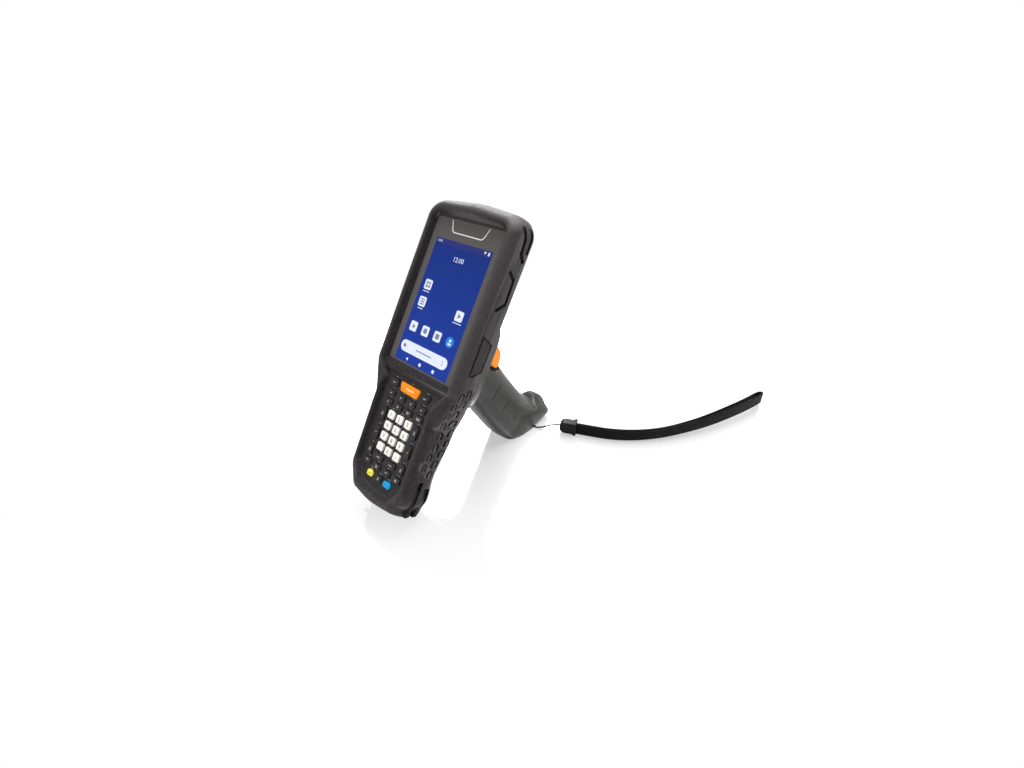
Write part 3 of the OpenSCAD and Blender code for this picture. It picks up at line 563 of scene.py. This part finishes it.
# %% Copies of the boot, housing, grip, battery, trigger and side keys
Y, Z = 1, 2  # the axes of the device frame along which the rows follow one another
boot = rounded_copy("rubber_boot", boot_rubber, "housing", 0.3, 62,
                    move=boot_skirt, cuts=[(Y, -149, -50), (Z, -22, -6)])
rounded_copy("front_housing", housing_abs, "housing", 0.2, 62)
rounded_copy("rear_housing", housing_abs, "housing", 0.4, 50)
for half in ("grip_shell_right", "grip_shell_left"):
    rounded_copy(half, grip_nylon, "housing", 0.25, 62,
                 move=butt_hook, cuts=[(Y, -74, -52), (Z, -170, -112)])
rounded_copy("battery_pack", battery_abs, "housing", 0.6, 40)
rounded_copy("battery_latch", latch_acetal, "battery_latch", 0.25)
trigger = rounded_copy("trigger", trigger_orange, "trigger", 0.9, 50, 3,
                       move=trigger_tail)
for side_key in ("side_key_right", "side_key_left"):
    rounded_copy(side_key, side_rubber, side_key, 0.3)
print("boot", len(boot.data.polygons), "faces, trigger", len(trigger.data.polygons))

# %% [markdown]
# ## Keys
# Each key cap is moulded on its own and moves on its own, so each gets its own copy, riding on its
# own body. The colours follow their groups: ivory numbers, black function keys, an orange scan
# key and two coloured shift keys.

# %% Key caps
key_names = sorted(n for n in nodes if n.startswith("key_"))
number_keys = ["key_%d" % i for i in range(10)] + ["key_point", "key_dash"]
coloured_keys = {"key_scan": (key_orange, "orange_plastic"),
                 "key_yellow": (key_yellow, "yellow_plastic"),
                 "key_blue": (key_blue, "blue_plastic")}
for key in key_names:
    plain = (key_white, "white_plastic") if key in number_keys else (key_black, "black_key")
    finish, slot_name = coloured_keys.get(key, plain)
    rounded_copy(key, finish, key, 0.25, 50)
print("key caps", len(key_names))

# %% [markdown]
# ## Metal, glass and the ferrule
# Screws and the trigger's pin are bright steel; the scan window is a dark red filter; the ferrule
# is moulded with a polished face. A filter that hides what is behind it is best made as a dark
# solid with a clear coat, since the light never comes out of the back.

# %% Steel, dark glass and polished plastic


def turned_steel(name, hex_colour, roughness):
    """Bare metal whose fine scratches change its roughness."""
    material, shader, place = new_finish(name)
    scratch = add_node(material, "ShaderNodeTexNoise",
                       {"Scale": 1 / (0.4 * MM), "Detail": 4.0, "Vector": place})
    rough = remap(material, scratch.outputs["Fac"], target=(roughness - 0.08, roughness + 0.12))
    feed(material, shader, {"Base Color": linear(hex_colour), "Metallic": 1.0, "Roughness": rough})
    return material


steel = turned_steel("zinc_plated_steel", "#a9abae", 0.3)
ferrule_gloss = moulded("polished_ferrule", "#070707", 0.22, 0.8, 0.004, 0.05, 0.3,
                        coat=0.04, shine=0.1)
scan_filter = moulded("red_scan_filter", "#4a1216", 0.08, 1.0, 0.001, 0.02, 0.0, coat=0.8)
ferrule = rounded_copy("strap_ferrule", ferrule_gloss, "housing", 0.5, 40, 3)
rounded_copy("case_screws", steel, "housing", 0.12, 50)
rounded_copy("trigger_pin", steel, "housing", 0.15, 50)
rounded_copy("scan_window", scan_filter, "housing", 0.2, 50)

# %% Finishes of the pieces inside
board_green = moulded("solder_mask", "#1f5a38", 0.35, 0.7, 0.01, 0.05, 0.0)
mat_silicone = moulded("grey_silicone", "#8d8f92", 0.6, 0.5, 0.01, 0.03, 0.0)
for inside, finish in [("main_board", board_green), ("keypad_mat", mat_silicone),
                       ("display_module", steel), ("scan_engine", battery_abs),
                       ("trigger_switch", latch_acetal)]:
    nodes[inside].data.materials.clear()
    nodes[inside].data.materials.append(finish)

# %% [markdown]
# ## The touch window
# The window is one sheet of hardened glass. Its border is printed grey on the back, and the lit
# display shows through the clear middle. The border and the picture's ground are one material,
# told apart by place in the device frame: a Mapping node turns Object coordinates into it.

# %% Printed glass
SCREEN_W = 56.2 * MM
SCREEN_H = 93.6 * MM
SCREEN_GLOW = 0.3
BORDER_GREY = "#555150"
GROUND_LOW, GROUND_HIGH = "#163084", "#10276a"


def device_place(material, place):
    """Object coordinates turned into the device frame, as the x and the y socket."""
    turned = add_node(material, "ShaderNodeMapping",
                      {"Location": screen_place, "Rotation": (math.radians(90 - LEAN_DEG), 0, 0),
                       "Vector": place}, vector_type="TEXTURE")
    parts = add_node(material, "ShaderNodeSeparateXYZ", {0: turned.outputs["Vector"]})
    return parts.outputs["X"], parts.outputs["Y"]


def printed_glass():
    """The grey border and the lit blue ground of the window, in one material."""
    material, shader, place = new_finish("printed_touch_glass")
    x, y = device_place(material, place)
    in_x = calculate(material, "LESS_THAN", calculate(material, "ABSOLUTE", x), SCREEN_W / 2)
    in_y = calculate(material, "LESS_THAN", calculate(material, "ABSOLUTE", y), SCREEN_H / 2)
    lit = calculate(material, "MULTIPLY", in_x, in_y)
    height = remap(material, y, (-SCREEN_H / 2, SCREEN_H / 2))
    ground = mixed(material, height, linear(GROUND_LOW), linear(GROUND_HIGH))
    colour = mixed(material, lit, linear(BORDER_GREY), ground)
    glow = calculate(material, "MULTIPLY", lit, SCREEN_GLOW)
    feed(material, shader, {"Base Color": colour, "Roughness": 0.4, "Specular IOR Level": 0.08,
                            "Emission Color": colour, "Emission Strength": glow})
    return material


rounded_copy("touch_window", printed_glass(), "housing", 0.15, 50)

# %% [markdown]
# ## Flat shapes
# Marks on the screen, on the keys and on the plate, and the boot's fins, are flat outlines with a
# thickness, placed in the device frame. A rounded tile is a single square face: its four corners
# are bevelled, then the face is extruded. A piece is made of a list of such outlines, each with
# its place.

# %% Flat shapes on a face of the terminal


def flat_shape(parts, name, finish, body, thick=0.04 * MM):
    """Joins flat outlines (each a bmesh-making function) into one thin piece in the device frame."""
    bm = bmesh.new()
    for make, place in parts:
        start = set(bm.verts)
        make(bm)
        new = [v for v in bm.verts if v not in start]
        bmesh.ops.translate(bm, verts=new, vec=Vector(place))
    flat = list(bm.faces)
    bmesh.ops.recalc_face_normals(bm, faces=flat)
    grown = bmesh.ops.extrude_face_region(bm, geom=flat, use_keep_orig=True)
    tops = [v for v in grown["geom"] if isinstance(v, bmesh.types.BMVert)]
    bmesh.ops.translate(bm, verts=tops, vec=(0, 0, thick))
    bmesh.ops.recalc_face_normals(bm, faces=bm.faces)
    bmesh.ops.transform(bm, matrix=stand, verts=bm.verts)
    return piece_from(bm, name, finish, body)


def tile(w, h, r, corner_steps=5):
    """A rounded rectangle of w by h millimetres."""
    def make(bm):
        before_it = set(bm.verts)
        bmesh.ops.create_grid(bm, x_segments=1, y_segments=1, size=0.5)
        corners = [v for v in bm.verts if v not in before_it]
        bmesh.ops.scale(bm, verts=corners, vec=(w * MM, h * MM, 1))
        if r:
            bmesh.ops.bevel(bm, geom=corners, offset=r * MM, offset_type="OFFSET",
                            affect="VERTICES", segments=corner_steps, profile=0.5, material=-1)
    return make


def disc(r, sides=24, turn=0.0):
    """A disc, or with few sides a triangle or a hexagon."""
    def make(bm):
        bmesh.ops.create_circle(bm, cap_ends=True, radius=r * MM, segments=sides,
                                matrix=Matrix.Rotation(math.radians(turn), 4, "Z"))
    return make


def outline(corners):
    """A flat face through corners given in millimetres."""
    def make(bm):
        bm.faces.new([bm.verts.new((x * MM, y * MM, 0)) for x, y in corners])
    return make


def at(x, y, z=0.02):
    """A place in the device frame, given in millimetres."""
    return (x * MM, y * MM, z * MM)


# %% [markdown]
# ## Fins in the end slots of the boot
# Two long slots run down each side of the boot and out at its lower end. A black rubber fin
# stands in each slot and runs out a millimetre or two past the boot's corner. A fin is one flat
# outline, made thick, and mirrored for the other side.

# %% Fins in the end slots of the boot
FIN = [(28.8, -127), (30.7, -128), (31.0, -149), (29.6, -150.4), (26.5, -150), (26.5, -140)]
FIN_BACKS = (-10.3, -17.7)  # the rear faces of the two fins, in millimetres behind the glass
FIN_THICK = 2.8 * MM
fins = [outline([(side * x, y) for x, y in FIN]) for side in (1, -1)]
fin_rubber = moulded("black_fin_rubber", "#0e0d0d", 0.6, 0.5, 0.03, 0.1, 0.5, shine=0.08)
flat_shape([(fin, at(0, 0, z)) for fin in fins for z in FIN_BACKS], "boot_fins", fin_rubber,
           "housing", FIN_THICK)

# %% [markdown]
# ## The picture on the screen
# The picture is plain: a status bar, a clock, white tiles with simple marks, a round blue tile, a
# search field and three buttons. Each is a thin flat shape just above the glass, and marks on a
# tile lie a little higher than the tile.

# %% Tiles, search field and buttons


def lit_ink(name, hex_colour):
    """The colour of a lit shape on the display."""
    material, shader, place = new_finish(name)
    fine = add_node(material, "ShaderNodeTexNoise", {"Scale": 1 / (2 * MM), "Vector": place})
    base = linear(hex_colour)
    tone = mixed(material, fine.outputs["Fac"], shade(base, 0.97), base)
    feed(material, shader, {"Base Color": tone, "Roughness": 0.4, "Specular IOR Level": 0.2,
                            "Emission Color": base, "Emission Strength": SCREEN_GLOW})
    return material


white_light = lit_ink("lit_white", "#c2c8d8")
bar_light = lit_ink("lit_dark_blue", "#162062")
grey_light = lit_ink("lit_grey", "#6a6f80")
blue_light = lit_ink("lit_blue", "#1a6cb8")

flat_shape([(tile(56.2, 4.2, 0), at(0, 44.7, 0.01))], "status_bar", bar_light, "housing")
tile_places = [(-20.2, 12), (-20.2, -1), (19, -1), (-20, -20), (-7, -20), (6, -20)]
white_parts = [(tile(7.4, 7.4, 1.2), at(x, y)) for x, y in tile_places]
# the search field, the three buttons, and two signs in the status bar
white_parts += [(tile(50, 8.6, 4.2, 8), at(-1, -35.5)), (disc(1.5, 3, 90), at(-15, -43.9)),
                (disc(1.35), at(-0.8, -43.9)), (tile(2.4, 2.4, 0.2), at(13.5, -43.9)),
                (tile(1.5, 2.4, 0.3), at(25, 44.7, 0.06)), (disc(1.3, 3, 180), at(21.4, 45.1, 0.06))]
# short label bars under the upper tiles
white_parts += [(tile(w, 0.55, 0.1, 2), at(x, y, 0.03)) for w, x, y in
                [(6.6, -20.2, 6.8), (5.4, -20.2, -6.2), (8.2, 19, -6.2)]]
flat_shape(white_parts, "screen_tiles", white_light, "housing")
flat_shape([(disc(3.9, 32), at(19, -20))], "round_tile", blue_light, "housing")
flat_shape([(disc(1.1, 24), at(19, -18.9, 0.07)), (tile(3.4, 1.5, 0.7), at(19, -21.4, 0.07))],
           "round_tile_mark", white_light, "housing")
grey_parts = [(tile(1.9, 1.9, 0.3), at(-20.2 + dx, 12 + dy, 0.07))
              for dx in (-1.3, 1.3) for dy in (-1.3, 1.3)]
grey_parts += [(tile(4.4, 0.9, 0.2), at(-20.2, -1 + dy, 0.07)) for dy in (-1.7, 0, 1.7)]
grey_parts += [(disc(2.1, 3, -90), at(18.8, -1, 0.07)), (disc(1.3, 20), at(-20, -20, 0.07)),
               (disc(2.2, 6), at(-7, -20, 0.07)), (tile(3.8, 3.8, 0.5), at(6, -20, 0.07)),
               (disc(0.5, 16), at(19, -34.4, 0.07)), (disc(0.5, 16), at(19, -36.6, 0.07)),
               (disc(1.4, 24), at(-22, -35.5, 0.07)), (tile(17, 0.8, 0.2), at(-1, -35.5, 0.07))]
flat_shape(grey_parts, "screen_marks", grey_light, "housing")

# %% [markdown]
# ## Printed digits and marks
# Number keys carry printed digits. A text object made into a mesh gives the outline of
# a digit, and it is laid flat onto the cap. Function keys get simple marks: arrows and bars, which
# say nothing but read as legends.

# %% Legends on the keys
DIGIT_SHARE = 0.7  # the height of a digit as a share of the font's size
dark_ink = moulded("dark_legend_ink", "#6f6b68", 0.4, 0.8, 0.001, 0.0, 0.0)
pale_ink = moulded("pale_legend_ink", "#a5a4a1", 0.45, 0.8, 0.001, 0.0, 0.0)
cream_ink = moulded("cream_legend_ink", "#fbdcb6", 0.45, 0.8, 0.001, 0.0, 0.0)


def key_top(key):
    """The middle of a key's cap and its top, in the device frame."""
    low, high = box_after(to_device, key)
    return (low.x + high.x) / 2, (low.y + high.y) / 2, high.z


def printed_text(words, height_mm, name, finish, body, middle):
    """Digits as a thin mesh, centred on middle in the device frame."""
    curve = bpy.data.curves.new(name, "FONT")
    curve.body = words
    curve.size = height_mm * MM / DIGIT_SHARE
    curve.align_x = "CENTER"
    curve.align_y = "CENTER"
    curve.resolution_u = 3
    curve.extrude = 0.015 * MM
    bm = curve_bmesh(name, curve)
    bmesh.ops.transform(bm, matrix=stand @ Matrix.Translation(Vector(middle)), verts=bm.verts)
    return piece_from(bm, name, finish, body)


for clock, height_mm, place in [("screen_clock", 3.4, at(0, 34.6, 0.03)),
                                ("status_clock", 1.5, at(-24, 44.7, 0.07))]:
    printed_text("12:00", height_mm, clock, white_light, "housing", place)

digits = {"key_%d" % i: str(i) for i in range(10)}
digits.update({"key_point": ".", "key_dash": "-"})
for key, words in digits.items():
    x, y, z = key_top(key)
    printed_text(words, 2.9, "digit_" + key[4:], dark_ink, key, (x, y, z + 0.02 * MM))

# each mark is a list of shapes with their places from the middle of the key, in millimetres
marks = {
    "key_scan": [(tile(0.5 if i % 3 else 0.95, 1.5, 0), (i - 3) * 1.2, 0) for i in range(7)],
    "key_soft_left": [(tile(2.6, 0.6, 0.2), 0, 0)],
    "key_soft_right": [(tile(2.6, 0.6, 0.2), -0.6, 0)],
    "key_arrow_left": [(disc(0.95, 3, 90), 0, 0)], "key_arrow_right": [(disc(0.95, 3, -90), 0, 0)],
    "key_arrow_up": [(disc(0.95, 3, 0), 0, 0)], "key_arrow_down": [(disc(0.95, 3, 180), 0, 0)],
    "key_wide_left": [(tile(3.2, 0.6, 0.2), 0, 0)], "key_wide_right": [(tile(3.2, 0.6, 0.2), 0, 0)],
    "key_yellow": [(tile(2.0, 0.6, 0.2), 0, 0)], "key_blue": [(tile(2.6, 0.6, 0.2), 0, 0)],
    "key_shift": [(disc(1.0, 3, 0), 0, 0.4), (tile(0.7, 1.0, 0), 0, -0.6)]}
for i in range(4):
    marks["key_upper_%d" % (i + 1)] = [(tile(0.6, 1.7, 0.1), 0.9 * (k - i / 2), 0)
                                       for k in range(i + 1)]
    marks["key_lower_%d" % (i + 1)] = [(tile(2.2, 0.6, 0.1), 0, 0.55 - 1.1 * k)
                                       for k in range(i % 2 + 1)]
for side in ("left", "right"):
    for i in (1, 2, 3):
        marks["key_%s_%d" % (side, i)] = [(tile(1.6, 0.5, 0.1), 0, 0.9 * k)
                                          for k in range(-(i % 2), i % 2 + 1)]
mark_inks = {"key_scan": cream_ink, "key_yellow": dark_ink, "key_blue": dark_ink}
for key, shapes in marks.items():
    x, y, z = key_top(key)
    flat_shape([(make, (x + dx * MM, y + dy * MM, z - 0.01 * MM)) for make, dx, dy in shapes],
               "mark_" + key[4:], mark_inks.get(key, pale_ink), key, 0.05 * MM)
print("legends", len(digits) + len(marks))

# %% [markdown]
# ### Shift legends beside the keys
# Second and third meanings are printed on the plate just above each key, in small pale, yellow and
# blue characters. They are too small to read, so each is a pair of short bars on the plate.

# %% Small bars above the keys
PLATE_Z = 0.0  # the plate lies level with the glass
BAR_RISE = 0.95 * MM  # from the upper edge of a key to the middle of its bars
BAR_HEIGHT = 0.45
yellow_ink = moulded("yellow_legend_ink", "#c9bd55", 0.45, 0.8, 0.001, 0.0, 0.0)
blue_ink = moulded("blue_legend_ink", "#4fa3cc", 0.45, 0.8, 0.001, 0.0, 0.0)
bars = {"pale": [], "yellow": [], "blue": []}
for i, key in enumerate(key_names):
    low, high = box_after(to_device, key)
    across = (low.x + high.x) / 2
    above = high.y + BAR_RISE
    left_bar = (tile(1.1, BAR_HEIGHT, 0.1, 2), (across - 0.9 * MM, above, PLATE_Z))
    right_bar = (tile(0.8, BAR_HEIGHT, 0.1, 2), (across + 0.7 * MM, above, PLATE_Z))
    bars["yellow" if i % 3 == 0 else "pale"].append(left_bar)
    bars["blue" if i % 4 == 1 else "pale"].append(right_bar)
for group, ink in (("pale", pale_ink), ("yellow", yellow_ink), ("blue", blue_ink)):
    flat_shape(bars[group], "plate_bars_" + group, ink, "housing", 0.03 * MM)
print("bars", sum(len(b) for b in bars.values()))

# %% [markdown]
# ## The badge outline
# A thin light line in the shape of a shallow cup is printed at the top of the window. The place
# inside it is left bare.

# %% Badge line
BADGE = [(-18.4, 61), (-15.6, 54), (-13.7, 52.5), (13.7, 52.5), (15.6, 54), (18.4, 61)]
BADGE_LINE = 0.75


def line_strip(corners, width):
    """A flat line through corners, built by extruding one edge from corner to corner."""
    points = [Vector((x, y, 0)) for x, y in corners]
    steps = [(q - p).normalized() for p, q in zip(points, points[1:])]

    def make(bm):
        edge = None
        for i, p in enumerate(points):
            a, b = steps[max(i - 1, 0)], steps[min(i, len(steps) - 1)]
            way = (a + b).normalized()
            out = Vector((-way.y, way.x, 0)) * width / 2 / max(0.4, way.dot(a))
            pair = [bm.verts.new((p + out) * MM), bm.verts.new((p - out) * MM)]
            if edge:
                bm.faces.new((edge[0], edge[1], pair[1], pair[0]))
            edge = pair
    return make


badge_ink = moulded("silver_print", "#dcdcd8", 0.35, 0.8, 0.001, 0.0, 0.0)
flat_shape([(line_strip(BADGE, BADGE_LINE), at(0, 0, 0.02))], "badge_line", badge_ink, "housing")

# %% [markdown]
# ## Studio
# The terminal stands on a pale glossy table in a white room. Three soft lamps light it: a large
# one above and behind, which makes the tops of the rubber pale, a weak one in front, and one
# behind on the left. The room is white to the camera and in reflections, and dimmer as a source
# of light, so that the colours render about as they are written. The table mirrors the terminal
# and fades into the white of the room farther out.

# %% The table, the room and the lamps
WHITE = (1, 1, 1, 1)
ROOM_LIGHT = 0.27  # the room as a source of light, where the camera sees 1
TABLE_BLUR = 0.09  # the roughness of the mirror picture
TABLE_MIRROR = 0.6  # the share of the mirror picture
TABLE_GLOW = 0.5  # the least share of the room's white in what the camera sees of the table
TABLE_FADE = (0.28, 0.42)  # how far from the origin the table fades into the room
NEAR_WAY = (0.5, -0.86, 0)  # from the terminal towards the camera, on the table
NEAR_FADE = (0.06, 0.19)
TABLE_DROP = 0.0002  # keeps the table's face off the feet that stand on it


def room_ray(material):
    """One for rays that the camera sees, straight, in a reflection or through glass; else zero."""
    ray = add_node(material, "ShaderNodeLightPath")
    seen = calculate(material, "MAXIMUM", ray.outputs["Is Camera Ray"], ray.outputs["Is Glossy Ray"])
    return calculate(material, "MAXIMUM", seen, ray.outputs["Is Transmission Ray"])


def pale_table():
    """A pale mirror-like sheet that fades into the room."""
    material, shader, place = new_finish("pale_table")
    cloud = add_node(material, "ShaderNodeTexNoise", {"Scale": 6.0, "Vector": place})
    tone = mixed(material, cloud.outputs["Fac"], linear("#f8f8f8"), linear("#fcfcfc"))
    feed(material, shader, {"Base Color": tone, "Roughness": 0.2, "Specular IOR Level": 0.35})
    # the sheet is glossy: a share of what the camera sees in it is a mirror picture
    mirror = add_node(material, "ShaderNodeBsdfGlossy", {"Color": WHITE, "Roughness": TABLE_BLUR})
    sheet = add_node(material, "ShaderNodeMixShader",
                     {0: TABLE_MIRROR, 1: shader.outputs[0], 2: mirror.outputs[0]})
    # away from the terminal, and towards the camera, the table fades into the white of the room
    away = add_node(material, "ShaderNodeVectorMath", {0: place}, operation="LENGTH")
    fade = remap(material, away.outputs["Value"], TABLE_FADE, curve="SMOOTHSTEP")
    towards = add_node(material, "ShaderNodeVectorMath", {0: place, 1: NEAR_WAY}, operation="DOT_PRODUCT")
    near = remap(material, towards.outputs["Value"], NEAR_FADE, (TABLE_GLOW, 1.0), "SMOOTHSTEP")
    paler = calculate(material, "MAXIMUM", fade, near)
    share = calculate(material, "MULTIPLY", paler, room_ray(material))
    white = add_node(material, "ShaderNodeEmission", {"Color": WHITE, "Strength": 1.0})
    both = add_node(material, "ShaderNodeMixShader", {0: share, 1: sheet.outputs[0], 2: white.outputs[0]})
    feed(material, material.node_tree.nodes["Material Output"], {"Surface": both.outputs[0]})
    return material


floor_mesh = bpy.data.meshes.new("table_top")
bm = bmesh.new()
bmesh.ops.create_grid(bm, x_segments=1, y_segments=1, size=6)
bm.to_mesh(floor_mesh)
bm.free()
floor_mesh.materials.append(pale_table())
floor = new_object("table_top", floor_mesh)
floor.location = (0, 0, -TABLE_DROP)

world = bpy.data.worlds.new("white_room")
bpy.context.scene.world = world
world.use_nodes = True
level = remap(world, room_ray(world), target=(ROOM_LIGHT, 1.0))
feed(world, world.node_tree.nodes["Background"], {"Color": WHITE, "Strength": level})


def soft_lamp(name, place, target, size, watts):
    """A square or oblong lamp that faces its target."""
    light = bpy.data.lights.new(name, "AREA")
    light.shape = "RECTANGLE"
    light.size, light.size_y = size
    light.energy = watts
    lamp = new_object(name, light)
    lamp.location = place
    lamp.rotation_euler = (target - Vector(place)).to_track_quat("-Z", "Y").to_euler()


middle = Vector((0, -0.04, 0.1))
soft_lamp("overhead", (0.0, 0.5, 1.15), middle, (1.0, 1.0), 42)
soft_lamp("front", (-0.15, -1.2, 0.7), middle, (0.6, 0.6), 6.5)
soft_lamp("back_left", (-0.85, 0.75, 0.7), middle, (0.7, 0.5), 10)
bpy.context.scene.view_settings.view_transform = "Standard"
print("studio ready")
